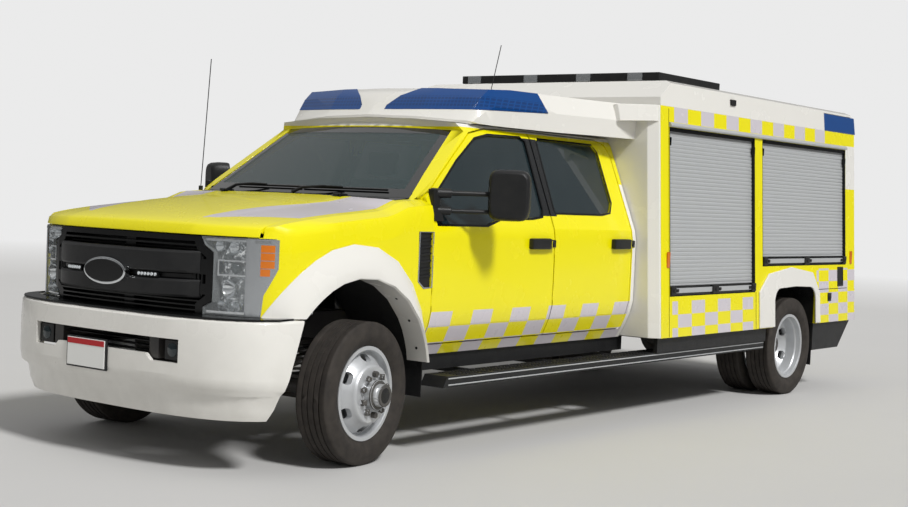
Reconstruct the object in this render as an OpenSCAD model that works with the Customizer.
// Airport rescue and fire-fighting truck: crew cab, 4x4 chassis, twin rear wheels and a locker body.
// Millimetres. X runs to the vehicle's left, Y to its rear, Z up from the ground.
// Modules draw in an axle frame with Y = 0 at the front axle; place() moves them to the middle.

/* [Overall] */
// Distance between the front and rear axle centres
wheelbase = 5164; // [4900:1:5500]
// Bumper face to the front axle
front_overhang = 973; // [940:1:1040]
// Rear axle to the back of the rear step
rear_overhang = 1290; // [1200:1:1400]
// Height of the wheel centres above the ground
axle_z = 396; // [390:1:400]

/* [Wheels and steering] */
// Outer radius of a tyre, a little flattened by the load
tyre_r = 396; // [380:1:400]
// Width of a tyre
tyre_w = 226; // [200:1:240]
// Radius of the rim's bead seat
bead_r = 247; // [240:1:252]
// Radius of the rim flange
flange_r = 262; // [256:1:268]
// Half the rim's width, outside the flanges
rim_half = 89; // [80:1:92]
// Offset of the wheel disc's mounting face from the wheel's middle
disc_offset = 136; // [125:1:140]
// Front tyre centre from the middle of the vehicle
front_track_half = 950; // [930:1:970]
// Outer rear tyre centre from the middle of the vehicle
rear_outer_x = 1076; // [1060:1:1090]
// Distance of the kingpin axis from the middle of the vehicle
kingpin_x = 800; // [790:1:810]
// Steering turn to the left at rest, degrees
rest_steer = 7; // [0:1:12]
// Radius of the wheel spindles
spindle_r = 38; // [30:1:42]
// Running clearance in the hubs and at the joint pins
pin_gap = 0.5; // [0.3:0.1:0.8]

/* [Chassis] */
// Outer face of a frame rail from the middle
rail_x = 430; // [410:1:440]
// Lower face of the frame rails
rail_z = 590; // [575:1:600]
// Height of the frame rails
rail_h = 200; // [180:1:210]
// Width of a rail's flanges
rail_flange = 70; // [60:1:80]
// Thickness of a rail's steel
rail_t = 10; // [8:1:14]
// Distance of the leaf springs from the middle
spring_x = 520; // [505:1:540]

/* [Cab] */
// Half the cab's width below the windows
cab_half = 1016; // [1000:1:1030]
// Rear wall of the cab behind the front axle
cab_rear = 2885; // [2870:1:2895]
// Shut line between the front and the rear doors
door_split = 1865; // [1840:1:1890]
// Front edge of the front doors
door_front = 600; // [590:1:615]
// Rear edge of the rear doors
door_rear = 2830; // [2800:1:2840]
// Foot of the cab's sides
cab_foot = 560; // [550:1:570]
// Foot of the doors
door_foot = 625; // [615:1:640]
// Crest of the cab roof
roof_z = 1990; // [1980:1:2000]
// Level of the cab floor's upper face
floor_z = 850; // [840:1:860]
// Thickness of the cab's walls
cab_wall = 78; // [72:1:84]
// Thickness of the outer layer of a door, which covers the shut face
door_skin = 20; // [16:1:24]
// Thickness of a whole door
door_t = 70; // [60:1:72]
// Shut gap round the doors
door_gap = 10; // [8:0.5:11]
// How much smaller a door's inner box is than its outer layer
door_step = 38; // [34:1:40]
// Room between a door's inner box and its opening, for the seal and the swing
seal_gap = 20; // [18:1:22]
// Thickness of the window glass
glass_t = 6; // [5:1:8]
// How far the mirrors' arms lean back, degrees
folded = 32; // [0:1:40]

/* [Nose] */
// Front of the hood ahead of the front axle
hood_front = 835; // [820:1:850]
// Half the width of the hood at its cut line
hood_half = 880; // [870:1:890]
// Thickness of the hood and the fenders
sheet_t = 34; // [28:1:40]
// Radius of the front wheel arch
arch_r = 572; // [560:1:585]
// Height of the arch's centre
arch_z = 458; // [450:1:465]
// How far the white arch flares stand out from the fender
flare_out = 50; // [40:1:60]
// Top of the front bumper
bumper_top = 822; // [815:1:825]
// Foot of the bumper's main face
bumper_foot = 455; // [445:1:465]
// Foot of the valance below it
valance_foot = 292; // [280:1:300]
// Half the width of the bumper
bumper_half = 1045; // [1035:1:1055]
// Thickness of the bumper's moulding
bumper_t = 26; // [20:1:30]

/* [Body] */
// Front wall of the locker body behind the front axle
body_front = 2960; // [2950:1:2975]
// Half the body's width at its foot
body_half = 1215; // [1200:1:1225]
// Foot of the body's sides
body_foot = 570; // [560:1:580]
// Top of the body's sides, where the roof cap sits
body_top = 2205; // [2195:1:2215]
// Top of the roof cap
cap_top = 2395; // [2385:1:2400]
// Inward lean of the sides, in mm for each mm of height
lean = 0.058; // [0.05:0.001:0.065]
// Thickness of the body's walls
wall = 45; // [40:1:50]
// Front edge of the forward locker's opening
locker_1_front = 3085; // [3075:1:3095]
// Rear edge of the forward locker's opening
locker_1_rear = 4435; // [4420:1:4445]
// Foot of the forward locker's opening
locker_1_foot = 860; // [850:1:880]
// Front edge of the rear locker's opening
locker_2_front = 4570; // [4560:1:4580]
// Rear edge of the rear locker's opening
locker_2_rear = 6210; // [6190:1:6220]
// Foot of the rear locker's opening
locker_2_foot = 1060; // [1050:1:1070]
// Top of the side lockers' openings
locker_top = 2060; // [2050:1:2070]
// Pitch of the roller shutters' slats
slat = 28; // [24:1:32]
// Half the length of the rear wheel arch
rear_arch_half = 395; // [385:1:405]
// Top of the rear wheel arch
rear_arch_top = 890; // [880:1:900]
// Foot of the black skirts
skirt_foot = 340; // [330:1:350]
// Width of the running boards
step_w = 170; // [150:5:180]

/* [Hidden] */
$fn = 48;

// Twin tyre spacing follows from the discs that lie face to face
rear_inner_x = rear_outer_x - 2 * disc_offset;
wheel_out = front_track_half - kingpin_x;
rail_top = rail_z + rail_h;
mid_y = (wheelbase + rear_overhang - front_overhang) / 2;
body_rear = wheelbase + rear_overhang - 44;
rear_end = wheelbase + rear_overhang;
yellow = "#f2ea00";
white = "#eceae6";
steel = "#2b2b2d";
black = "#1c1c1e";
silver = "#a9adb0";
tinted = "#28393c";
blue = "#123d9a";

// Puts a module drawn in the axle frame into the middle of the vehicle
module place() translate([0, -mid_y, 0]) children();

// Draws something on the left and mirrored on the right
module both() {
    children();
    mirror([1, 0, 0]) children();
}

// A (y, z) outline carried along X from x0 to x1
module across(outline, x0, x1) {
    translate([x0, 0, 0]) rotate([90, 0, 90]) linear_extrude(x1 - x0) polygon(outline);
}

// An (x, z) outline carried along Y from y0 to y1
module along(outline, y0, y1) {
    translate([0, y1, 0]) rotate([90, 0, 0]) linear_extrude(y1 - y0) polygon(outline);
}

// A box between two corners
module block(low, high) translate(low) cube(high - low);

// A rod along X, its middle at the given point
module rod_x(at, r, length) translate(at) rotate([0, 90, 0]) cylinder(h = length, r = r, center = true);

// Where two lines through p and q, with directions u and v, cross
function crossing(p, u, q, v) =
    let(k = cross(u, v))
    abs(k) < 1e-9 ? p : p + u * (cross(q - p, v) / k);

function unit(v) = v / norm(v);
function right_of(v) = [v[1], -v[0]];

// A closed outline, drawn anticlockwise, moved outwards by d
function grown(pts, d) = [
    for (i = [0 : len(pts) - 1])
        let(a = pts[(i + len(pts) - 1) % len(pts)], b = pts[i], c = pts[(i + 1) % len(pts)],
            u = unit(b - a), v = unit(c - b))
        crossing(b + right_of(u) * d, u, b + right_of(v) * d, v)
];

// A sheet of even form between two grids of points, rows and columns alike in both
module plate(a, b) {
    n = len(a[0]);
    m = len(a);
    k = m * n;
    polyhedron(
        points = concat([for (row = a) each row], [for (row = b) each row]),
        faces = concat(
            [for (j = [0 : m - 2], i = [0 : n - 2]) let(p = j * n + i)
                each [[p + n + 1, p + 1, p], [p + n, p + n + 1, p]]],
            [for (j = [0 : m - 2], i = [0 : n - 2]) let(p = j * n + i + k)
                each [[p + 1, p + n + 1, p], [p + n + 1, p + n, p]]],
            [for (i = [0 : n - 2]) each [[i + k, i, i + 1], [i + 1 + k, i + k, i + 1]]],
            [for (i = [0 : n - 2]) let(q = (m - 1) * n + i)
                each [[q + 1 + k, q + 1, q], [q + k, q + 1 + k, q]]],
            [for (j = [0 : m - 2]) let(p = j * n) each [[p + n + k, p + n, p], [p + k, p + n + k, p]]],
            [for (j = [0 : m - 2]) let(r = j * n + n - 1)
                each [[r + k, r, r + n], [r + n + k, r + k, r + n]]]
        ));
}

// Plan curve shared by the nose pieces: half width at a distance behind the nose's tip
nose_power = 3.2;
nose_depth = 600;
bumper_depth = 560;
function nose_x(half, y, tip) =
    let(s = (nose_depth - tip - y) / nose_depth)
    s <= 0 ? half : half * pow(max(0, 1 - pow(s, nose_power)), 1 / nose_power);
// The same curve read the other way: y of the nose at a distance from the middle
function nose_y(half, x, tip, depth = nose_depth) =
    depth - tip - depth * pow(max(0, 1 - pow(min(1, abs(x) / half), nose_power)), 1 / nose_power);

// Chassis
rail_front = -front_overhang + 150;
rail_rear = rear_end - 60;
cross_members = [-760, 1330, 2300, 3300, wheelbase - 864, wheelbase + 486, rear_end - 134];

// Upright holes for tow pins, in the rear coupling block and in the front eyes
hitch_r = 16;
hitch_y = rail_rear - 45;
tow_r = 15;
tow_x = 395;
tow_y = -front_overhang + 133;
tow_z = rail_z - 50;
tow_t = 24;
// The horns end just behind the bumper's inner face
horn_x = rail_x * bumper_half / (bumper_half - bumper_t);
horn_y = nose_y(bumper_half, horn_x, front_overhang, bumper_depth)
    + bumper_t * sqrt(1 - pow(horn_x / bumper_half, 2)) + 3.1;

module chassis_frame() color(steel) place() {
    profile = [[rail_x - rail_flange, rail_z], [rail_x, rail_z], [rail_x, rail_top],
               [rail_x - rail_flange, rail_top], [rail_x - rail_flange, rail_top - rail_t],
               [rail_x - rail_t, rail_top - rail_t], [rail_x - rail_t, rail_z + rail_t],
               [rail_x - rail_flange, rail_z + rail_t]];
    difference() {
        union() {
            both() along(profile, rail_front, rail_rear);
            for (y = cross_members)
                block([-rail_x + rail_t, y, rail_top - 60], [rail_x - rail_t, y + 60, rail_top - 10]);
            // horns that carry the bumper
            both() block([rail_x - rail_flange, horn_y, rail_z - 2],
                         [rail_x + 2, rail_front + 30, rail_top - 60]);
            block([-60, rail_rear - 90, rail_z - 40], [60, rail_rear, rail_top - 40]);
            // tow eyes below the horns: a level plate hung on a web
            both() {
                block([tow_x - 34, tow_y - 35, tow_z], [tow_x + 34, rail_front + 30, tow_z + tow_t]);
                block([tow_x - 34, rail_front + 10, tow_z], [tow_x + 34, rail_front + 30, rail_z + 10]);
            }
        }
        translate([0, hitch_y, rail_z - 60]) cylinder(h = rail_h + 80, r = hitch_r);
        both() translate([tow_x, tow_y, tow_z - 5]) cylinder(h = tow_t + 10, r = tow_r);
    }
}

// Heavy mass of the engine, closed in under the hood
module engine() color("#4a4a4c") place()
    block([-290, -520, rail_z + 60], [290, 330, 1220]);

// Middle of the front differential, to the left of the engine
diff_x = 150;
module drivetrain() color("#56575a") place() {
    translate([0, 330, rail_z + 160]) rotate([-90, 0, 0]) cylinder(h = 260, r1 = 200, r2 = 150);
    translate([0, 590, rail_z + 150]) rotate([-90, 0, 0]) cylinder(h = 420, r = 120);
    block([-170, 1010, rail_z - 20], [170, 1200, rail_z + 210]);
    block([-60, 1199, rail_top - 50], [60, cross_members[1] - 0.3, rail_top - 15]);
    shaft([0, 1200, rail_z + 90], [0, wheelbase - 210, axle_z + 40], 48);
    shaft([diff_x, 1010, rail_z + 20], [diff_x, 175, axle_z + 20], 32);
}

// A round shaft between two points
module shaft(from, to, r) {
    v = to - from;
    translate(from) rotate([0, acos(v[2] / norm(v)), atan2(v[1], v[0])]) cylinder(h = norm(v), r = r);
}

exhaust_x = -220;
module exhaust() color("#77797c") place() {
    shaft([exhaust_x, 700, rail_z - 50], [exhaust_x, 2200, rail_z - 50], 38);
    translate([exhaust_x, 2200, rail_z - 50]) rotate([-90, 0, 0]) cylinder(h = 800, r = 120);
    shaft([exhaust_x, 3000, rail_z - 50], [exhaust_x, 4200, rail_z - 50], 38);
    block([exhaust_x - 15, cross_members[2] + 10, rail_z + 50],
          [exhaust_x + 15, cross_members[2] + 50, rail_top - 60.3]);
}

tank_z = 470;
tank_out = cab_half - 226;
module fuel_tank() color(black) place()
    difference() {
        block([rail_x + 0.3, 1200, tank_z], [tank_out, 1900, rail_top - 30]);
        translate([tank_out, 1100, tank_z]) rotate([-90, 45, 0])
            translate([-60, -60, 0]) cube([120, 120, 900]);
    }

// Front axle: a live axle with a yoke at each end, coil springs and arms
yoke_r = 42;
lug_low = 92;
lug_t = 40;
coil_x = 560;

module front_axle() color(steel) place() {
    rod_x([0, 0, axle_z], 52, 2 * (kingpin_x - 90));
    translate([diff_x, 0, axle_z]) banjo(150);
    both() {
        block([kingpin_x - 120, -45, axle_z - lug_low - lug_t],
              [kingpin_x - 80, 45, axle_z + lug_low + lug_t]);
        for (z = [axle_z - lug_low - lug_t, axle_z + lug_low]) {
            block([kingpin_x - 120, -40, z], [kingpin_x, 40, z + lug_t]);
            translate([kingpin_x, 0, z]) cylinder(h = lug_t, r = yoke_r);
        }
        translate([kingpin_x, 0, axle_z - lug_low - 1]) cylinder(h = 24, r = 16);
        translate([kingpin_x, 0, axle_z + lug_low - 23]) cylinder(h = 24, r = 16);
        block([coil_x - 75, -75, axle_z + 45], [coil_x + 75, 75, axle_z + 62]);
        translate([coil_x, 0, axle_z + 62.2]) coil(62, 9, 177.6, 5);
        block([rail_x, -80, axle_z + 240], [coil_x + 80, 80, axle_z + 262]);
        // a trailing link between a bracket on the axle and the frame
        block([coil_x - 75, 0, axle_z - 50], [coil_x - 5, 75, axle_z + 46]);
        difference() {
            shaft([coil_x - 40, 20, axle_z - 20], [rail_x - 35, 1000, rail_z - 32], 26);
            block([0, -20, 0], [kingpin_x, 75.3, rail_top]);
        }
    }
}

// The round housing of a differential, with its flange, cover and pinion nose
module banjo(r) rotate([-90, 0, 0]) {
    translate([0, 0, -r * 0.4]) cylinder(h = r * 0.75, r = r * 0.93);
    translate([0, 0, -r * 0.08]) cylinder(h = r * 0.16, r = r);
    translate([0, 0, r * 0.34]) cylinder(h = r * 0.36, r1 = r * 0.85, r2 = r * 0.45);
    translate([0, 0, -r * 0.85]) cylinder(h = r * 0.47, r1 = r * 0.4, r2 = r * 0.7);
}

// A coil spring: mean radius, wire radius, height and turns
module coil(r, wire, height, turns) {
    steps = turns * 10;
    sides = 6;
    polyhedron(
        points = [for (i = [0 : steps], j = [0 : sides - 1])
            let(a = 36 * i, b = 360 * j / sides, q = r + wire * cos(b))
            [q * cos(a), q * sin(a),
             wire * sin(60) + (height - 2 * wire * sin(60)) * i / steps + wire * sin(b)]],
        faces = concat([[for (j = [sides - 1 : -1 : 0]) j]],
            [for (i = [0 : steps - 1], j = [0 : sides - 1])
                let(p = i * sides + j, q = i * sides + (j + 1) % sides)
                    each [[p, q, p + sides], [q, q + sides, p + sides]]],
            [[for (j = [0 : sides - 1]) steps * sides + j]]));
}

// Rear axle: a banjo axle hung on leaf springs
module rear_axle() color(steel) place() {
    translate([0, wheelbase, 0]) {
        rod_x([0, 0, axle_z], 62, 2 * (rear_inner_x - 14));
        both() translate([rear_inner_x - 30, 0, axle_z]) rotate([0, 90, 0])
            cylinder(h = disc_offset + 98, r = spindle_r);
        translate([0, 0, axle_z]) banjo(205);
        both() {
            for (i = [0 : 3])
                across(leaf(760 - 150 * i, axle_z + 116 - 15.4 * i), spring_x - 45, spring_x + 45);
            block([spring_x - 60, -90, axle_z + 30], [spring_x + 60, 90, axle_z + 68]);
            for (y = [-740, 740])
                block([rail_x, y - 40, axle_z + 200], [spring_x + 45, y + 40, rail_top - 60]);
        }
    }
}
// One leaf of a spring: a shallow bow, its half length and its height at the middle
function leaf(half, z) = concat(
    [for (i = [0 : 8]) let(y = -half + half * i / 4) [y, z - 16 + leaf_bow * y * y]],
    [for (i = [8 : -1 : 0]) let(y = -half + half * i / 4) [y, z + leaf_bow * y * y]]);
leaf_bow = 0.00022;

// Wheels, drawn round the X axis with the outer side towards +X
module tyre() {
    h = tyre_w / 2;
    s = rim_half - 10;
    tread = h - 24;
    groove = 9;
    ribs = [-0.62, -0.22, 0.22, 0.62];
    side = [[bead_r, -s], [flange_r, -s], [flange_r + 4, -s - 8], [tyre_r - 92, -h + 3], [tyre_r - 66, -h],
            [tyre_r - 40, -h + 4], [tyre_r - 14, -h + 10], [tyre_r - 3, -h + 17]];
    rotate([0, 90, 0]) rotate_extrude($fn = 96) polygon(concat(
        side,
        [[tyre_r, -tread]],
        [for (g = ribs) each [[tyre_r, g * tread - groove / 2], [tyre_r - 11, g * tread - groove / 2 + 2],
                              [tyre_r - 11, g * tread + groove / 2 - 2], [tyre_r, g * tread + groove / 2]]],
        [[tyre_r, tread]],
        [for (i = [len(side) - 1 : -1 : 0]) [side[i][0], -side[i][1]]],
        [[bead_r, s - 22], [bead_r + 8, s - 30], [bead_r + 8, -s + 30], [bead_r, -s + 22]]));
}

// A pressed steel wheel: dir is 1 where the disc bulges outwards and -1 where it is dished
hub_hole_r = 84;
module rim(dir) {
    t = 11;
    f = rim_half;
    rotate([0, 90, 0]) rotate_extrude($fn = 96) polygon([
        [bead_r, -f + 10], [flange_r, -f + 10], [flange_r, -f], [bead_r - 6, -f], [bead_r - t, -f + 8],
        [bead_r - t, -f + 34], [bead_r - 26, -f + 50], [bead_r - 26, f - 50], [bead_r - t, f - 34],
        [bead_r - t, f - 8], [bead_r - 6, f], [flange_r, f], [flange_r, f - 10], [bead_r, f - 10],
        [bead_r, f - 34], [bead_r - 15, f - 52], [bead_r - 15, -f + 52], [bead_r, -f + 34]]);
    difference() {
        rotate([0, 90, 0]) rotate_extrude($fn = 96) polygon([
            [bead_r - 20, dir * 20], [bead_r - 20, dir * 42], [212, dir * 62], [176, dir * 104],
            [162, dir * (disc_offset - 6)], [152, dir * disc_offset], [hub_hole_r, dir * disc_offset],
            [hub_hole_r, dir * (disc_offset - t)], [147, dir * (disc_offset - t)], [158, dir * 92],
            [198, dir * 46]]);
        for (a = [0 : 60 : 300])
            rotate([a, 0, 0]) translate([0, 0, 196]) rotate([0, 90, 0]) {
                for (y = [-18, 18])
                    translate([0, y, 0]) cylinder(h = 260, r = 19, center = true);
                translate([-19, -18, -130]) cube([38, 36, 260]);
            }
    }
}

// A hub with its ten studs and nuts, face at x = 0, bored for the spindle
module hub(depth, cap) {
    difference() {
        union() {
            translate([-depth, 0, 0]) rotate([0, 90, 0]) cylinder(h = depth - 11, r = 92);
            translate([-13, 0, 0]) rotate([0, 90, 0]) cylinder(h = 13 + cap * 0.5, r = hub_hole_r - 1);
            translate([cap * 0.5 - 1, 0, 0]) rotate([0, 90, 0]) cylinder(h = cap * 0.5, r = 62);
        }
        translate([-depth - 1, 0, 0]) rotate([0, 90, 0]) cylinder(h = depth - 9, r = spindle_r + pin_gap);
    }
    for (i = [0 : 9])
        rotate([36 * i, 0, 0]) translate([-13, 0, 112.5]) rotate([0, 90, 0])
            cylinder(h = 36, r = 15, $fn = 6);
}

module front_wheel_place(side) place()
    translate([side * kingpin_x, 0, axle_z]) rotate([0, 0, rest_steer])
        mirror([side < 0 ? 1 : 0, 0, 0]) children();

module tyre_front(side) color(black) front_wheel_place(side) translate([wheel_out, 0, 0]) tyre();
module rim_front(side) color(silver) front_wheel_place(side) translate([wheel_out, 0, 0]) {
    rim(1);
    translate([disc_offset, 0, 0]) hub(120, 80);
    translate([disc_offset - 175, 0, 0]) brake_disc();
}

// A brake disc behind the hub
module brake_disc() difference() {
    rotate([0, 90, 0]) union() {
        cylinder(h = 38, r = 185);
        cylinder(h = 70, r = 92);
    }
    translate([-1, 0, 0]) rotate([0, 90, 0]) cylinder(h = 90, r = spindle_r + pin_gap);
}

module rear_wheel_place(side) place()
    translate([0, wheelbase, axle_z]) mirror([side < 0 ? 1 : 0, 0, 0]) children();

module tyres_rear(side) color(black) rear_wheel_place(side)
    for (x = [rear_inner_x, rear_outer_x]) translate([x, 0, 0]) tyre();

module rims_rear(side) color(silver) rear_wheel_place(side) {
    translate([rear_inner_x, 0, 0]) rim(1);
    translate([rear_outer_x, 0, 0]) rim(-1);
    translate([rear_outer_x - disc_offset, 0, 0]) difference() {
        union() {
            translate([-140, 0, 0]) rotate([0, 90, 0]) cylinder(h = 129, r = 92);
            translate([-12, 0, 0]) rotate([0, 90, 0]) cylinder(h = 60, r = hub_hole_r - 1);
            translate([40, 0, 0]) rotate([0, 90, 0]) cylinder(h = 62, r = 66);
        }
        translate([-150, 0, 0]) rotate([0, 90, 0]) cylinder(h = 222, r = spindle_r + pin_gap);
    }
    translate([rear_outer_x - disc_offset, 0, 0])
        for (i = [0 : 9]) rotate([36 * i, 0, 0]) translate([10, 0, 112.5]) rotate([0, 90, 0])
            cylinder(h = 28, r = 15, $fn = 6);
}

// Steering: a knuckle turns between the yoke's lugs and carries spindle, caliper and arm
arm_y = 190;
arm_z = -60;
module knuckle(side) color(steel) front_wheel_place(side) difference() {
    union() {
        translate([0, 0, -lug_low + 1]) cylinder(h = 2 * lug_low - 2, r = yoke_r - 4);
        rotate([0, 90, 0]) cylinder(h = wheel_out + disc_offset - 16, r = spindle_r);
        shaft([0, 30, arm_z], [0, arm_y, arm_z], 20);
        translate([0, arm_y, arm_z - 22]) cylinder(h = 44, r = 26);
    }
    translate([0, 0, -lug_low - 5]) cylinder(h = 40, r = 16 + pin_gap);
    translate([0, 0, lug_low - 35]) cylinder(h = 40, r = 16 + pin_gap);
    translate([0, arm_y, arm_z - 40]) cylinder(h = 80, r = 11 + pin_gap);
}

// Arm eyes after the rest turn, from which the tie rod takes its length
function turned(p, a) = [p[0] * cos(a) - p[1] * sin(a), p[0] * sin(a) + p[1] * cos(a)];
eye_left = [kingpin_x, 0] + turned([0, arm_y], rest_steer);
eye_right = [-kingpin_x, 0] + turned([0, arm_y], rest_steer);

module tie_rod() color(steel) place() {
    z = axle_z + arm_z;
    for (e = [eye_left, eye_right]) translate([e[0], e[1], z - 50]) {
        translate([0, 0, -6]) cylinder(h = 106, r = 11);
        translate([0, 0, -6]) cylinder(h = 30, r = 24);
    }
    shaft([eye_left[0] - 10, eye_left[1], z - 41], [eye_right[0] + 10, eye_right[1], z - 41], 15);
}

// How far the side tucks in at a height: level above the crease, drawn in towards the sill
sill_table = [[cab_foot, 110], [door_foot, 70], [740, 20], [826, 0]];
function tuck(z) = lookup(z, sill_table);

// Cab: one cross section carried along Y, drawn for the left half from the sill to the roof
function cab_side(d) = [
    for (r = sill_table) [cab_half - r[1] - d, r[0]],
    [cab_half - d, 1250 - d * 0.1], [cab_half - 10 - d, 1318 - d * 0.2],
    [775 - d * 0.95, 1902 - d * 0.5], [735 - d * 0.7, 1955 - d], [400 - d * 0.5, 1982 - d], [0, roof_z - d]];
function mirrored(pts) = concat(pts, [for (i = [len(pts) - 2 : -1 : 0]) [-pts[i][0], pts[i][1]]]);
module cab_solid(d, y0, y1) along(mirrored(cab_side(d)), y0, y1);

// Side outlines of the doors and their windows as (y, z), anticlockwise
front_door = [[door_front, door_foot], [door_split - 3, door_foot], [door_split - 3, 1946],
              [1390, 1934], [1204, 1898], [982, 1751], [767, 1605], [door_front, 1489]];
rear_door = [[door_split, door_foot], [door_rear - 12, door_foot], [door_rear, 860],
             [door_rear + 8, 1391], [door_rear + 4, 1830], [2790, 1908], [2700, 1940],
             [door_split, 1946]];
front_window = [[650, 1336], [1140, 1336], [1290, 1376], [1650, 1386], [1765, 1400], [1785, 1440],
                [1800, 1880], [1760, 1899], [1400, 1893], [1250, 1862], [1000, 1712], [690, 1490],
                [648, 1430]];
rear_window = [[1930, 1425], [2500, 1425], [2610, 1440], [2662, 1505], [2664, 1850], [2625, 1896],
               [1960, 1899], [1942, 1880], [1928, 1440]];
// A door: a thin outer layer over the shut faces, an inner box, a window hole and a handle
module door(outline, window, handle, hinge_y) {
    difference() {
        union() {
            for (z = hinge_levels)
                hinge_place(hinge_y, z) {
                    cylinder(h = hinge_h / 3, r = hinge_r);
                    translate([-7, 2, 0]) cube([6.5, 4, hinge_h / 3]);
                }
            intersection() {
                difference() {
                    cab_solid(0, door_front, door_rear + 60);
                    cab_solid(door_skin, door_front - 10, door_rear + 80);
                }
                across(grown(outline, -door_gap / 2), door_inner_x, cab_half + 50);
            }
            intersection() {
                difference() {
                    cab_solid(door_skin - 1, door_front, door_rear + 60);
                    cab_solid(door_t, door_front - 10, door_rear + 80);
                }
                across(grown(outline, -door_step), door_inner_x, cab_half + 50);
            }
        }
        across(window, 0, cab_half + 50);
        for (z = hinge_levels) {
            hinge_place(hinge_y, z) translate([0, 0, -1])
                cylinder(h = hinge_h / 3 + 2, r = hinge_pin_r + pin_gap);
            // room beside the next door's hinge
            hinge_place(door_split, z) translate([-40, -10, -hinge_h / 3 - 6]) cube([80, 5, hinge_h + 12]);
        }
    }
    translate([cab_half - 4, handle - 125, 1200]) cube([38, 250, 44]);
}
// Door hinges: a ring on the door turns on a pin between two fixed lugs, in the shut gap
hinge_levels = [880, 1175];
hinge_h = 66;
hinge_r = 4.8;
hinge_pin_r = 2.8;
module hinge_place(y, z) translate([cab_half, y, z]) children();
module hinge_lugs(y, reach) for (z = hinge_levels)
    hinge_place(y, z) for (k = [-hinge_h / 3 - 1, hinge_h / 3 + 1]) {
        translate([0, 0, k]) cylinder(h = hinge_h / 3, r = hinge_r);
        translate([-reach, -hinge_r - 0.7, k]) cube([reach - 1, hinge_r + 3, hinge_h / 3]);
        translate([0, 0, -5]) cylinder(h = hinge_h / 3 + 10, r = hinge_pin_r);
    }
door_inner_x = 700;
handle_front = 1699;
handle_rear = 2690;

module door_front_side(side) color(yellow) place() mirror([side < 0 ? 1 : 0, 0, 0])
    door(front_door, front_window, handle_front, door_front);
module door_rear_side(side) color(yellow) place() mirror([side < 0 ? 1 : 0, 0, 0])
    door(rear_door, rear_window, handle_rear, door_split);

// A pane in its door, set in a little from the outer face
module pane(window) intersection() {
    difference() {
        cab_solid(10, door_front, door_rear + 60);
        cab_solid(10 + glass_t, door_front - 10, door_rear + 80);
    }
    across(window, 0, cab_half + 50);
}
module glass_front(side) color(tinted) place() mirror([side < 0 ? 1 : 0, 0, 0]) pane(front_window);
module glass_rear(side) color(tinted) place() mirror([side < 0 ? 1 : 0, 0, 0]) pane(rear_window);

// Windscreen: part of a large cylinder laid along the slope of the glass
screen_low = [417, 1482];
screen_slope = 34.3;
screen_len = 847;
screen_r = 4600;
cab_front = 372;
module screen_frame() translate([0, screen_low[0], screen_low[1]]) rotate([screen_slope, 0, 0]) children();
module screen_drum(d, from, to)
    translate([0, from, -screen_r]) rotate([-90, 0, 0]) cylinder(h = to - from, r = screen_r + d, $fn = 900);
// Outline of the glass seen square on: half widths at the foot and at the head
screen_foot_half = 850;
screen_head_half = 690;
function screen_sag(x) = screen_r - sqrt(screen_r * screen_r - x * x);
// The foot and the head run level, so the sag of the drum moves their ends up the slope
function screen_level(x, z) = (z - screen_low[1] + screen_sag(x) * cos(screen_slope)) / sin(screen_slope);
screen_head_z = 1930;
module screen_outline(grow) linear_extrude(400, center = true)
    polygon(concat(
        [for (i = [-6 : 6]) let(x = i / 6 * (screen_foot_half + grow))
            [x, screen_level(x, screen_low[1]) - grow]],
        [for (i = [6 : -1 : -6]) let(x = i / 6 * (screen_head_half + grow))
            [x, screen_level(x, screen_head_z - 15 * pow(i / 6, 2)) + grow]]));

// Hump in the floor over the gearbox
tunnel_rear = 1045;
tunnel_top = 1005;
function tunnel(d) = [[-265 + d, cab_foot - 1], [265 - d, cab_foot - 1], [265 - d, 880],
                      [215 - d * 0.7, tunnel_top - d], [-215 + d * 0.7, tunnel_top - d], [-265 + d, 880]];
// Centre of the front wheel arch along the vehicle
arch_y = -30;

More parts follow.
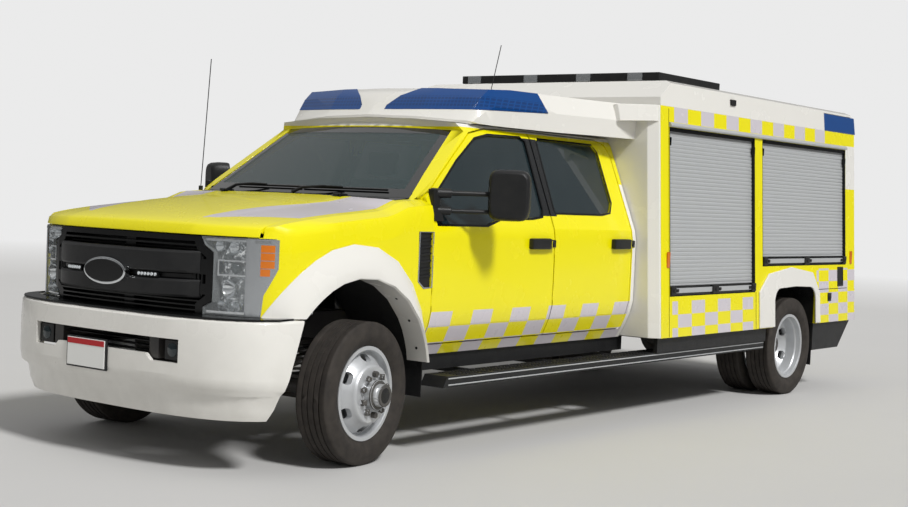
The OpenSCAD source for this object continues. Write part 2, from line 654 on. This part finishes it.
module cab_shell() color(yellow) place() {
    difference() {
        cab_solid(0, cab_front, cab_rear);
        // the room inside, above the floor and below it
        intersection() {
            cab_solid(cab_wall, cab_front + 60, cab_rear - 60);
            difference() {
                block([-2000, cab_front, floor_z], [2000, cab_rear, 2500]);
                along(tunnel(0), cab_front, tunnel_rear);
            }
        }
        block([-cab_half + 150, cab_front - 1, cab_foot - 1], [cab_half - 150, cab_rear + 1, floor_z - 45]);
        along(tunnel(25), cab_front - 1, tunnel_rear - 25);
        // room for the fenders over the front posts
        difference() {
            block([-1200, 0, 0], [1200, door_front - door_gap / 2 + 0.3, 1600]);
            cab_solid(sheet_t + 1, -10, 700);
        }
        both() block([hood_half + 5.7, 0, 1420], [1200, door_front - door_gap / 2 + 0.3, 1476.5]);
        // everything ahead of the windscreen's surface
        screen_frame() difference() {
            translate([-1300, -900, -160]) cube([2600, screen_len + 900, 1400]);
            screen_drum(0, -1000, screen_len + 200);
        }
        // hole for the glass with a rebate round it
        screen_frame() intersection() {
            screen_outline(-32);
            difference() {
                screen_drum(5, -200, screen_len + 200);
                screen_drum(-130, -201, screen_len + 201);
            }
        }
        screen_frame() intersection() {
            screen_outline(0);
            difference() {
                screen_drum(5, -200, screen_len + 200);
                screen_drum(-glass_t - 4.3, -201, screen_len + 201);
            }
        }
        // door openings: shallow at the outer layer, smaller behind it
        both() for (d = [front_door, rear_door]) {
            difference() {
                across(grown(d, door_gap / 2), door_inner_x - door_gap, cab_half + 50);
                cab_solid(door_skin + 8, 0, 4000);
            }
            across(grown(d, seal_gap - door_step), door_inner_x - door_gap, cab_half + 50);
        }
        // window in the rear wall
        block([-520, cab_rear - 100, 1440], [520, cab_rear + 10, 1840]);
        // wheel wells at the front corners
        both() translate([rail_x + 40, arch_y, arch_z]) rotate([0, 90, 0]) cylinder(h = 700, r = arch_r + 16);
    }
    both() hinge_lugs(door_split, 32);
    hood_lugs();
    // cowl between the hood's rear edge and the windscreen's foot
    plate([for (k = [0, 1]) [for (c = cowl_cols) cowl_point(c, k, 0)]],
          [for (k = [0, 1]) [for (c = cowl_cols) cowl_point(c, k, 72)]]);
}
cowl_cols = [-0.96, -0.85, -0.7, -0.5, -0.25, 0, 0.25, 0.5, 0.7, 0.85, 0.96];
function foot_y(x) = screen_low[0] + screen_level(x, screen_low[1]) * cos(screen_slope)
    + screen_sag(x) * sin(screen_slope);
function cowl_point(c, k, d) = let(x = c * hood_half) k == 0
    ? [x, hood_edge(c) + 8, hood_z(x, 1) - 8 - d]
    : [x, foot_y(x) - 3, screen_low[1] - 4 - d];

module cab_glass() color(tinted) place() {
    screen_frame() intersection() {
        screen_outline(-0.5);
        difference() {
            screen_drum(-4, -200, screen_len + 200);
            screen_drum(-4 - glass_t, -201, screen_len + 201);
        }
    }
    block([-519.7, cab_rear - 40, 1440.3], [519.7, cab_rear - 34, 1839.7]);
}

// Middle of the driver's place
wheel_x = 420;

// Dashboard: a shaped ledge across the cab with a hood over the dials
dash_outline = [[cab_front + 60.3, 1060], [700, 1030], [860, 1120], [890, 1290], [850, 1372],
                [700, 1400], [620, 1385], [cab_front + 60.3, 1330]];
module dashboard() color("#2a2c2e") place() {
    half = cab_half - cab_wall - 60;
    across(dash_outline, -half, half);
    translate([wheel_x, 790, 1365]) rotate([0, 90, 0]) cylinder(h = 420, r = 66, center = true);
    across([[780, tunnel_top + 0.3], [tunnel_rear - 10, tunnel_top + 0.3], [tunnel_rear - 10, 1060],
            [900, 1140], [800, 1140]], -130, 130);
}

module steering_wheel() color(black) place() difference() {
    translate([wheel_x, 1040, 1375]) rotate([-65, 0, 0]) {
        rotate_extrude() translate([190, 0]) circle(r = 16, $fn = 20);
        for (a = [0, 180, 270]) rotate([0, 0, a]) translate([0, -18, -10]) cube([190, 36, 20]);
        translate([0, 0, -35]) cylinder(h = 50, r = 62);
        translate([0, 0, -215]) cylinder(h = 200, r = 28);
    }
    // the column ends at the dashboard's face
    across(grown(dash_outline, 0.3), 0, 900);
}

// Seats: two in front, a bench of three behind
module seat(x, y, w) translate([x, y, floor_z]) {
    block([-w / 2 + 40, 30, 0.3], [w / 2 - 40, 430, 180]);
    across_at([[0, 180], [480, 170], [500, 290], [0, 320]], w);
    across_at([[430, 280], [560, 270], [660, 770], [550, 780]], w);
    for (h = w > 700 ? [-w / 3, 0, w / 3] : [0])
        translate([h, 0, 0]) across_at([[560, 775], [645, 765], [668, 945], [590, 955]], min(w, 280));
}
module across_at(outline, w) across(outline, -w / 2, w / 2);
module seats() color("#565c60") place() {
    for (x = [-wheel_x, wheel_x]) seat(x, 1180, 540);
    seat(0, 2080, 1500);
}

// Hood: a crowned sheet with a raised middle, its front edge on the nose curve
hood_rear = 345;
hood_foot = 1245;
function hood_crown(t) = t < 0.85 ? 0.15 + 0.8 * t : 0.83 - (t - 0.85) * 4;
function hood_z(x, t) = 1252 + 120 * pow(t, 0.25) + 106 * t
    - 62 * pow(abs(x) / hood_half, 2.2) * hood_crown(t) + (abs(x) < 520 ? 9 * t * (1 - t) * 4 : 0);
hood_cols = [-1, -0.97, -0.85, -0.7, -0.61, -0.57, -0.35, 0, 0.35, 0.57, 0.61, 0.7, 0.85, 0.97, 1];
hood_rows = [0, 0.008, 0.03, 0.08, 0.17, 0.3, 0.5, 0.7, 0.86, 0.93, 1];
function hood_edge(c) = hood_rear + 45 * c * c;
function hood_point(c, t, d) =
    let(x = c * hood_half, y0 = nose_y(cab_half, x, hood_front))
    [x, y0 + (hood_edge(c) - y0) * t, (t == 0 ? hood_foot : hood_z(x, t)) - d];
module hood() color(yellow) place() {
    plate([for (t = hood_rows) [for (c = hood_cols) hood_point(c, t, 0)]],
          [for (t = hood_rows) [for (c = hood_cols) hood_point(c, t, min(sheet_t, 3 + 1100 * t))]]);
    both() difference() {
        translate([hood_pin_x - 15, hood_rear, hood_axis_z]) union() {
            rotate([0, 90, 0]) cylinder(h = 30, r = 8);
            translate([0, -12, -22]) cube([30, 12, 22]);
        }
        rod_x([hood_pin_x, hood_rear, hood_axis_z], 4 + pin_gap, 60);
    }
}
hood_pin_x = 480;
hood_axis_z = 1484;
// The hinge's fixed side stands on the cowl
module hood_lugs() both() for (x = [hood_pin_x - 29, hood_pin_x + 17]) {
    rod_x([hood_pin_x, hood_rear, hood_axis_z], 4, 58);
    rod_x([x + 6, hood_rear, hood_axis_z], 8, 12);
    across([[hood_rear, hood_axis_z - 2], [hood_rear + 40, hood_axis_z - 20],
            [hood_rear + 60, hood_axis_z - 28], [hood_rear + 60, hood_axis_z + 2],
            [hood_rear, hood_axis_z + 8]], x, x + 12);
}

// Fenders: the sheet from the hood's cut line over the shoulder and down the side
fender_rows = [-698, -668, -636, -600, -550, -500, -380, -200, 0, 200, 270, 330, 380, 450,
               door_front - door_gap / 2];
function fender_top(y) =
    let(y0 = nose_y(cab_half, hood_half, hood_front), y1 = hood_edge(1))
    hood_z(hood_half, min(1, max(0, (y - y0) / (y1 - y0)))) + max(0, y - y1) * 0.06;
function fender_ring(y, d) =
    let(s = nose_x(cab_half, y, hood_front), z = fender_top(y), e = hood_half + 6)
    [[min(e, s - 30), y, z - d], [min(e + 40, s - 20), y, z - 6 - d], [s - 18 - d * 0.4, y, z - 34 - d * 0.8],
     [s - 4 - d, y, z - 80 - d * 0.5], [s - d, y, z - 160], [s - d, y, 1000],
     for (i = [3 : -1 : 0]) [s - sill_table[i][1] - d, y, sill_table[i][0]]];
module front_fenders() color(yellow) place() both() {
    hinge_lugs(door_front, 7);
    difference() {
        plate([for (y = fender_rows) fender_ring(y, 0)], [for (y = fender_rows) fender_ring(y, sheet_t)]);
        translate([500, arch_y, arch_z]) rotate([0, 90, 0]) cylinder(h = 800, r = arch_r + 16);
        block([600, -1000, 0], [1200, -300, bumper_top + 4]);
        block([0, -1000, nose_top + 4], [hood_half + 6, 0, 2000]);
        block([600, -1000, nose_top + 4], [1200, -672, 2000]);
        across(grown(lamp_edge, 0.5), 600, 1200);
        across([[462, 1290], [470, 1000], [520, 962], [590, 962], [590, 1290]], cab_half - 14, cab_half + 20);
    }
}

// White flares: a lipped band that runs round the arch
flare_table = [[8, 616], [20, 628], [35, 656], [50, 694], [65, 730], [80, 752], [95, 761], [110, 764],
               [125, 757], [140, 742], [157, 722]];  // angle from the rear, outer radius
flare_angles = [8, 14, 20, 27, 35, 50, 65, 80, 95, 108, 118, 126, 132, 137, 141, 145, 148, 151, 154, 157];
function flare_x(y) = nose_x(cab_half, y, hood_front);
flare_t = 9;
// Each corner of the lip has a radius, a distance out and a share of the side's tuck
function flare_ring(a, r, d) = [
    for (q = [[arch_r + d, -112, 0], [arch_r + d, flare_out - 12 - d * 0.4, 0],
              [arch_r + 7 + d * 0.5, flare_out - 1.2 * d, 0],
              [arch_r + (r - arch_r) * 0.35, flare_out - 4 - d, 0.3],
              [arch_r + (r - arch_r) * 0.7, flare_out * 0.5 - d, 0.7],
              [r, 7 - d * 0.65, 1]])
        let(y = arch_y + q[0] * cos(a), z = arch_z + q[0] * sin(a))
            [flare_x(y) + q[1] - q[2] * tuck(z), y, z]];
module front_flares() color(white) place() both() difference() {
    plate([for (a = flare_angles) flare_ring(a, lookup(a, flare_table), flare_t)],
          [for (a = flare_angles) flare_ring(a, lookup(a, flare_table), 0)]);
    block([600, -1200, 0], [1200, -300, bumper_top + 4]);
}

// Dark inner arches over the front wheels
module wheel_liners() color(black) place() both() difference() {
    translate([rail_x + 55, arch_y, arch_z]) rotate([0, 90, 0])
        cylinder(h = cab_half - rail_x - 95, r = arch_r + 15.7, $fn = 180);
    translate([rail_x, arch_y, arch_z]) rotate([0, 90, 0])
        cylinder(h = 600, r = arch_r + flare_t + 0.3, $fn = 180);
    block([0, -1000, -500], [1200, 1000, arch_z + 40]);
    block([0, -1000, -500], [1200, -400, bumper_top + 4]);
}

// Rear edge of the headlamps in side view, and the level under the hood where the nose pieces end
nose_top = hood_foot - 9;
lamp_edge = [[-1000, 826], [-704, 826], [-704, 1058], [-604, 1128], [-604, nose_top], [-1000, nose_top]];

// A band that follows the nose curve in plan
module nose_band(half, tip, t, z0, z1, depth = nose_depth, steps = 24) {
    xs = [for (i = [0 : steps]) half * sin(-90 + 180 * i / steps)];
    translate([0, 0, z0]) linear_extrude(z1 - z0) polygon(concat(
        [for (x = xs) [x, nose_y(half, x, tip, depth)]],
        [for (i = [steps : -1 : 0]) [xs[i] * (half - t) / half, nose_y(half, xs[i], tip, depth) + t]]));
}

// Grille: a framed panel, two deep bars and rows of thin ones
grille_half = cab_half - 426;
module grille_outline() along([
    [-grille_half, 790], [grille_half, 790], [grille_half + 8, 870], [grille_half + 60, 900],
    [grille_half + 60, 1150], [grille_half + 8, 1185], [grille_half - 16, nose_top + 1],
    [-grille_half + 16, nose_top + 1], [-grille_half - 8, 1185], [-grille_half - 60, 1150],
    [-grille_half - 60, 900], [-grille_half - 8, 870]], -1000, 0);
module grille() color(black) place() intersection() {
    nose_band(cab_half, hood_front - 6, 120, bumper_top - 40, nose_top);
    grille_outline();
    union() {
        difference() {
            grille_outline();
            along([[-grille_half + 40, 826], [grille_half - 40, 826], [grille_half - 40, 880],
                   [grille_half + 20, 925], [grille_half + 20, 1125],
                   [grille_half - 40, 1165], [grille_half - 60, 1215],
                   [-grille_half + 60, 1215], [-grille_half + 40, 1165], [-grille_half - 20, 1125],
                   [-grille_half - 20, 925], [-grille_half + 40, 880]], -1000, 0);
        }
        for (z = [[842, 8], [866, 8], [890, 8], [930, 56], [1035, 80], [1180, 10], [1206, 10]])
            block([-grille_half - 30, -1000, z[0]], [grille_half + 30, 0, z[0] + z[1]]);
        for (x = [grille_half - 70 : 22 : grille_half + 10], s = [-1, 1])
            block([s * x - 4, -1000, 920], [s * x + 4, 0, 1130]);
        block([-40, -780, 800], [40, 0, 1250]);
    }
}

// Headlamps: a C round the grille's corner
module headlamps() color("#c9d2d6") place() both() intersection() {
    nose_band(cab_half - 2, hood_front - 2, 130, 800, nose_top);
    across(lamp_edge, 0, 1100);
    along([[grille_half + 12, 826], [grille_half + 12, 866], [grille_half + 66, 894],
           [grille_half + 66, 1156], [grille_half + 14, 1190], [grille_half - 10, nose_top],
           [cab_half - 4, nose_top], [cab_half - 4, 826]], -1000, -500);
}

// Front bumper: levels from the foot to the top, each a nose curve: height, set back, narrowing
bumper_levels = [[valance_foot, 70, 60], [valance_foot + 60, 52, 40], [bumper_foot - 30, 46, 22],
                 [bumper_foot, 10, 6], [bumper_foot + 60, 0, 0], [bumper_top - 130, 0, 0],
                 [bumper_top - 22, 6, 0], [bumper_top - 6, 22, 4], [bumper_top, 88, 40]];
function bumper_ring(l, d) = [for (i = [0 : 26]) let(
        half = bumper_half - l[2], a = -90 + 180 * i / 26, x = half * sin(a) * (1 - d / half),
        y = nose_y(half, half * sin(a), front_overhang - l[1], bumper_depth))
    [x, y + d * cos(a), l[0]]];
module front_bumper() color(white) place() difference() {
    plate([for (l = bumper_levels) bumper_ring(l, 0)], [for (l = bumper_levels) bumper_ring(l, bumper_t)]);
    // openings either side of the plate, with the raised middle of the lower edge
    along([[-590, 577], [-400, 577], [-360, 612], [360, 612], [400, 577], [590, 577], [590, 700],
           [-590, 700]], -1100, -600);
    // the sides rake back to the wheel arch
    both() translate([500, arch_y, arch_z]) rotate([0, 90, 0]) cylinder(h = 800, r = arch_r - 60);
    across([[-455, 900], [-415, 900], [-300, 900], [-300, 200], [-660, 200], [-600, 440]], -1200, 1200);
}

// Roof fairing over the cab: rows from the windscreen's head back to the body
fair_cols = [-1, -0.97, -0.9, -0.78, -0.5, 0, 0.5, 0.78, 0.9, 0.97, 1];
fair_tip = 1130;
fair_len = cab_rear + 7.7 - fair_tip;
function fair_front(c) = fair_tip + 130 * pow(abs(c), 2.4);
// distance behind the front edge, half width, side foot, shoulder height, crown height
fair_rows = [[0, 760, 1962, 1978, 2010], [40, 772, 1962, 2040, 2050], [110, 784, 1960, 2120, 2140],
             [190, 790, 1958, 2182, 2194], [420, 800, 1957, 2196, 2206], [900, 830, 1957, 2200, 2210],
             [1300, 880, 1960, 2202, 2211], [fair_len, 960, 1960, 2202, 2208]];
function fair_point(r, c, d) =
    let(k = r[0] / fair_len, y = fair_front(c) * (1 - k) + (fair_tip + fair_len) * k,
        e = abs(c), s = c < 0 ? -1 : 1,
        x = e > 0.99 ? r[1] : e > 0.96 ? r[1] + 8 : e > 0.85 ? r[1] - 30 : r[1] * e,
        z = e > 0.99 ? r[2] : e > 0.96 ? (r[2] + r[3]) / 2
            : e > 0.85 ? r[3] : r[4] - (r[4] - r[3]) * pow(e / 0.9, 2))
    [s * (x - (e > 0.85 ? d : 0)), y, z - (e > 0.99 ? 0 : d)];
module roof_fairing() color(white) place() difference() {
    plate([for (r = fair_rows) [for (c = fair_cols) fair_point(r, c, 0)]],
          [for (r = fair_rows) [for (c = fair_cols) fair_point(r, c, 16)]]);
    both() beacon_space(0);
}

// Beacons at the front corners of the fairing
module beacon_space(d) intersection() {
    across([[1100, 2044 + d], [1400, 2052 + d], [1990 - d, 2074 + d], [1880 - d, 2260], [1100, 2260]],
           100, 900);
    translate([0, 0, 2000]) linear_extrude(300)
        polygon([[105 + d, 1100], [1000, 1100], [1000, 2100], [715 + d, 2100], [655 + d, 1500],
                 [560 + d, 1424 - d], [300 + d, 1356 - d], [105 + d, 1196 - d]]);
}
module front_beacons() color(blue) place() both() intersection() {
    beacon_space(1);
    plate([for (r = fair_rows) [for (c = fair_cols) fair_point(r, c, -3)]],
          [for (r = fair_rows) [for (c = fair_cols) fair_point(r, c, 70)]]);
}

// Locker body: a tapered cross section along Y
function body_x(z) = body_half - lean * (z - body_foot);
function body_section(d, z0, z1) = [[-body_x(z0) + d, z0], [body_x(z0) - d, z0], [body_x(z1) - d, z1],
                                    [-body_x(z1) + d, z1]];
deck_z = 930;
tunnel_half = 585;

module body_bulkhead() color(white) place() difference() {
    along(body_section(0, body_foot, body_top), cab_rear + 8, body_front);
    along([[-tunnel_half, 0], [tunnel_half, 0], [tunnel_half, deck_z - wall], [-tunnel_half, deck_z - wall]],
          2800, 3000);
    // chamfers along the outer front corners
    both() translate([body_half, cab_rear + 8, body_foot]) rotate([0, -atan(lean), 0])
        translate([0, 0, -100]) linear_extrude(2000) polygon([[-70, -1], [5, -1], [5, 52]]);
}

lockers = [[locker_1_front, locker_1_rear, locker_1_foot], [locker_2_front, locker_2_rear, locker_2_foot]];

module rescue_body() color(yellow) place() difference() {
    along(body_section(0, body_foot, body_top), body_front, body_rear);
    // tunnel over the frame and the wheel housings
    block([-tunnel_half, body_front - 1, 0], [tunnel_half, body_rear + 1, deck_z - wall]);
    both() across(arch_outline(18), tunnel_half - 1, body_half + 20);
    // the space inside above the deck, and the side bins before and behind the wheels
    intersection() {
        along(body_section(wall, body_foot + wall, body_top + 1), body_front + wall, body_rear - wall);
        union() {
            block([-2000, 0, deck_z], [2000, 8000, 3000]);
            both() for (y = [[0, wheelbase - rear_arch_half - 120], [wheelbase + rear_arch_half + 120, 8000]])
                block([tunnel_half + wall, y[0], 0], [2000, y[1], deck_z + 10]);
        }
    }
    // locker and rear openings
    both() for (l = lockers)
        block([800, l[0], l[2]], [body_half + 50, l[1], locker_top]);
    block([-600, body_rear - 100, 960], [600, body_rear + 10, 2080]);
}
// Rear wheel arch as (y, z), squarish with a bowed head
function arch_outline(d) = concat(
    [[wheelbase - rear_arch_half - d, 0], [wheelbase + rear_arch_half + d, 0]],
    [for (i = [0 : 8]) let(a = 90 * i / 8) [wheelbase + rear_arch_half + d - 110 + 110 * cos(a),
        rear_arch_top - 120 + d + 110 * sin(a)]],
    [[wheelbase, rear_arch_top + d]],
    [for (i = [0 : 8]) let(a = 90 + 90 * i / 8) [wheelbase - rear_arch_half - d + 110 + 110 * cos(a),
        rear_arch_top - 120 + d + 110 * sin(a)]]);

module rear_arches() color(white) place() both() difference() {
    intersection() {
        across([[wheelbase - rear_arch_half - 270, body_foot + 5],
                [wheelbase + rear_arch_half + 90, body_foot + 5],
                [wheelbase + rear_arch_half + 80, 830], [wheelbase + rear_arch_half - 60, 1000],
                [wheelbase - 80, locker_2_foot - 12], [wheelbase - rear_arch_half - 100, 1000],
                [wheelbase - rear_arch_half - 270, 860]], 1000, 1400);
        difference() {
            along(body_section(-14, body_foot, 1200), wheelbase - 800, wheelbase + 800);
            along(body_section(-0.3, body_foot - 1, 1201), wheelbase - 801, wheelbase + 801);
        }
    }
    across(arch_outline(0), 900, 1400);
}

// Roof cap: a thick shell with a sloped front
module body_roof() color(white) place() difference() {
    intersection() {
        along([[-body_x(body_top), body_top + 0.3], [body_x(body_top), body_top + 0.3],
               [body_x(cap_top) - 6, cap_top - 22], [body_x(cap_top) - 60, cap_top],
               [-body_x(cap_top) + 60, cap_top], [-body_x(cap_top) + 6, cap_top - 22]],
              body_front, body_rear + 20);
        across([[body_front, body_top], [body_rear, body_top], [body_rear + 20, body_top + 60],
                [body_rear - 60, cap_top], [body_front + 190, cap_top], [body_front + 4, body_top + 60]],
               -body_half - 50, body_half + 50);
    }
    block([-body_x(body_top) + 80, body_front + 200, body_top - 5],
          [body_x(body_top) - 80, body_rear - 90, cap_top - 34]);
    both() rear_beacon_space();
}
module rear_beacon_space() translate([0, 0, body_top + 1]) difference() {
    block([body_half - 315, body_rear - 640, 0], [body_half + 85, body_rear + 100, 150]);
    translate([body_half - 205, body_rear - 700, -1]) rotate([0, 0, 8]) translate([-400, 0, 0])
        cube([400, 620, 200]);
}
module rear_beacons() color(blue) place() both() intersection() {
    rear_beacon_space();
    along([[0, body_top + 2], [body_x(body_top) + 4, body_top + 2], [body_x(cap_top) - 4, body_top + 148],
           [0, body_top + 148]], body_front, body_rear + 16);
}

// Roller shutters: each slat is a shallow bow, all in one section carried along Y
function slats(z0, z1) = let(n = floor((z1 - z0) / slat), p = (z1 - z0) / n) [
    for (i = [0 : n - 1]) each [[0, z0 + p * i], [5, z0 + p * (i + 0.2)], [5, z0 + p * (i + 0.8)]]];
module shutter(y0, y1, z0, z1) {
    translate([body_x(z0) - 30, 0, z0]) rotate([0, -atan(lean), 0]) translate([0, 0, -z0])
        along(concat([[-14, z0]], slats(z0, z1), [[0, z1], [-14, z1]]), y0, y1);
    translate([body_x(z0) - 30, 0, z0]) rotate([0, -atan(lean), 0])
        block([-14, y0, 0], [22, y1, 62]);
}
module side_shutters() color(silver) place() both() for (l = lockers)
    shutter(l[0] + 0.3, l[1] - 0.3, l[2] + 1.2, locker_top - 2);

module rear_shutter() color(silver) place()
    translate([0, body_rear - 30, 0]) rotate([0, 0, 90])
        along(concat([[-14, 960.3]], slats(960.3, 2079.7), [[0, 2079.7], [-14, 2079.7]]), -599.7, 599.7);

// Black skirts behind the rear wheels and below the body
module body_skirts() color(black) place() both() {
    across([[wheelbase + rear_arch_half + 18, skirt_foot], [wheelbase + 950, skirt_foot],
            [body_rear - 60, body_foot - 0.3], [wheelbase + rear_arch_half + 18, body_foot - 0.3]],
           body_half - 60, body_half - 24);
}

// Running boards along the cab and the forward body, hung on brackets
step_front = 560;
step_rear = wheelbase - rear_arch_half - 60;
module side_steps() color(black) place() both() {
    across([[step_front, 398], [step_rear, 398], [step_rear, 462], [step_front + 40, 462]],
           cab_half - 26, cab_half - 26 + step_w);
    block([body_half - 70, body_front + 20, 461], [body_half - 40, step_rear, body_foot - 0.3]);
    for (y = [1080, 1960, 2700]) {
        block([rail_x + 0.3, y, 420], [1000, y + 50, 450]);
        block([rail_x + 0.3, y, 420], [rail_x + 30, y + 50, rail_z + 60]);
    }
}

// Rear step with its two brackets
module rear_step() color(steel) place() {
    difference() {
        block([-1080, body_rear - 60, 470], [1080, rear_end, 530]);
        // a notch leaves the tow pin's way free
        block([-70, body_rear - 61, 469], [70, rail_rear + 16, 531]);
    }
    both() block([rail_x + 0.3, body_rear - 180, 470], [rail_x + 40, body_rear - 59, rail_z + 60]);
}

module tail_lamps() color("#a01818") place() both()
    for (z = [1000, 1120, 1240])
        translate([1040, body_rear + 0.3, z]) rotate([-90, 0, 0]) cylinder(h = 22, r = 52);

// Low frame on the roof with its lamps
frame_front = 3300;
frame_rear = 4250;
module roof_frame() color(black) place() {
    difference() {
        block([-900, frame_front, cap_top + 18], [900, frame_rear, cap_top + 78]);
        block([-860, frame_front + 40, cap_top], [860, frame_rear - 40, cap_top + 100]);
    }
    for (y = [frame_front + 300, frame_front + 620])
        block([-870, y, cap_top + 30], [870, y + 40, cap_top + 60]);
    for (x = [-860, 820], y = [frame_front + 10, frame_rear - 60])
        block([x, y, cap_top + 0.3], [x + 40, y + 50, cap_top + 30]);
}

module antennas() color(black) place() {
    translate([-915, 550, fender_top(550) - 1.5]) cylinder(h = 30, r = 14);
    shaft([-915, 550, fender_top(550) + 29.2], [-870, 560, 2330], 3);
    translate([-250, 2790, 2207.6]) cylinder(h = 40, r1 = 24, r2 = 17);
    shaft([-250, 2790, 2248.6], [-228, 2885, 2655], 3.2);
}

// Mirrors: a tall head on two arms that lean back from the door's corner
mirror_base = [cab_half - 76, 670];
module mirror_side(side) color(black) place() mirror([side < 0 ? 1 : 0, 0, 0]) difference() {
    union() {
        translate([mirror_base[0] - 50, 614, 1392]) cube([110, 86, 128]);
        translate(mirror_base) rotate([0, 0, folded]) {
            shaft([0, 0, 1425], [345, 115, 1425], 15);
            shaft([-10, 0, 1495], [345, 115, 1560], 15);
            difference() {
                translate([440, 130, 0]) mirror_head();
                block([335, 160, 1395], [545, 230, 1645]);
            }
        }
    }
    cab_solid(0, 500, 900);
}
// A mirror's head: a rounded outline in front view, hollowed at the back for the glass
module mirror_head() intersection() {
    translate([0, 0, 1365]) linear_extrude(307)
        polygon([for (i = [0 : 23]) let(a = 15 * i)
            [128 * pow(abs(cos(a)), 0.5) * sign(cos(a)), -10 + 66 * pow(abs(sin(a)), 0.8) * sign(sin(a))]]);
    translate([0, 100, 1518.5]) rotate([90, 0, 0]) linear_extrude(200)
        polygon([for (i = [0 : 35]) let(a = 10 * i)
            [129 * pow(abs(cos(a)), 0.45) * sign(cos(a)), 155 * pow(abs(sin(a)), 0.45) * sign(sin(a))]]);
}

chassis_frame();
engine();
drivetrain();
exhaust();
fuel_tank();
front_axle();
rear_axle();
cab_shell();
cab_glass();
dashboard();
steering_wheel();
seats();
front_fenders();
front_flares();
wheel_liners();
grille();
headlamps();
front_bumper();
roof_fairing();
front_beacons();
body_bulkhead();
rescue_body();
body_roof();
rear_beacons();
side_shutters();
rear_shutter();
rear_arches();
body_skirts();
side_steps();
rear_step();
tail_lamps();
roof_frame();
antennas();
hood();
door_front_side(1);  // door_front_left
door_front_side(-1);  // door_front_right
door_rear_side(1);  // door_rear_left
door_rear_side(-1);  // door_rear_right
glass_front(1);  // glass_front_left
glass_front(-1);  // glass_front_right
glass_rear(1);  // glass_rear_left
glass_rear(-1);  // glass_rear_right
mirror_side(1);  // mirror_left
mirror_side(-1);  // mirror_right
knuckle(1);  // knuckle_left
knuckle(-1);  // knuckle_right
tie_rod();
tyre_front(1);  // tyre_front_left
rim_front(1);  // rim_front_left
tyre_front(-1);  // tyre_front_right
rim_front(-1);  // rim_front_right
tyres_rear(1);  // tyres_rear_left
rims_rear(1);  // rims_rear_left
tyres_rear(-1);  // tyres_rear_right
rims_rear(-1);  // rims_rear_right
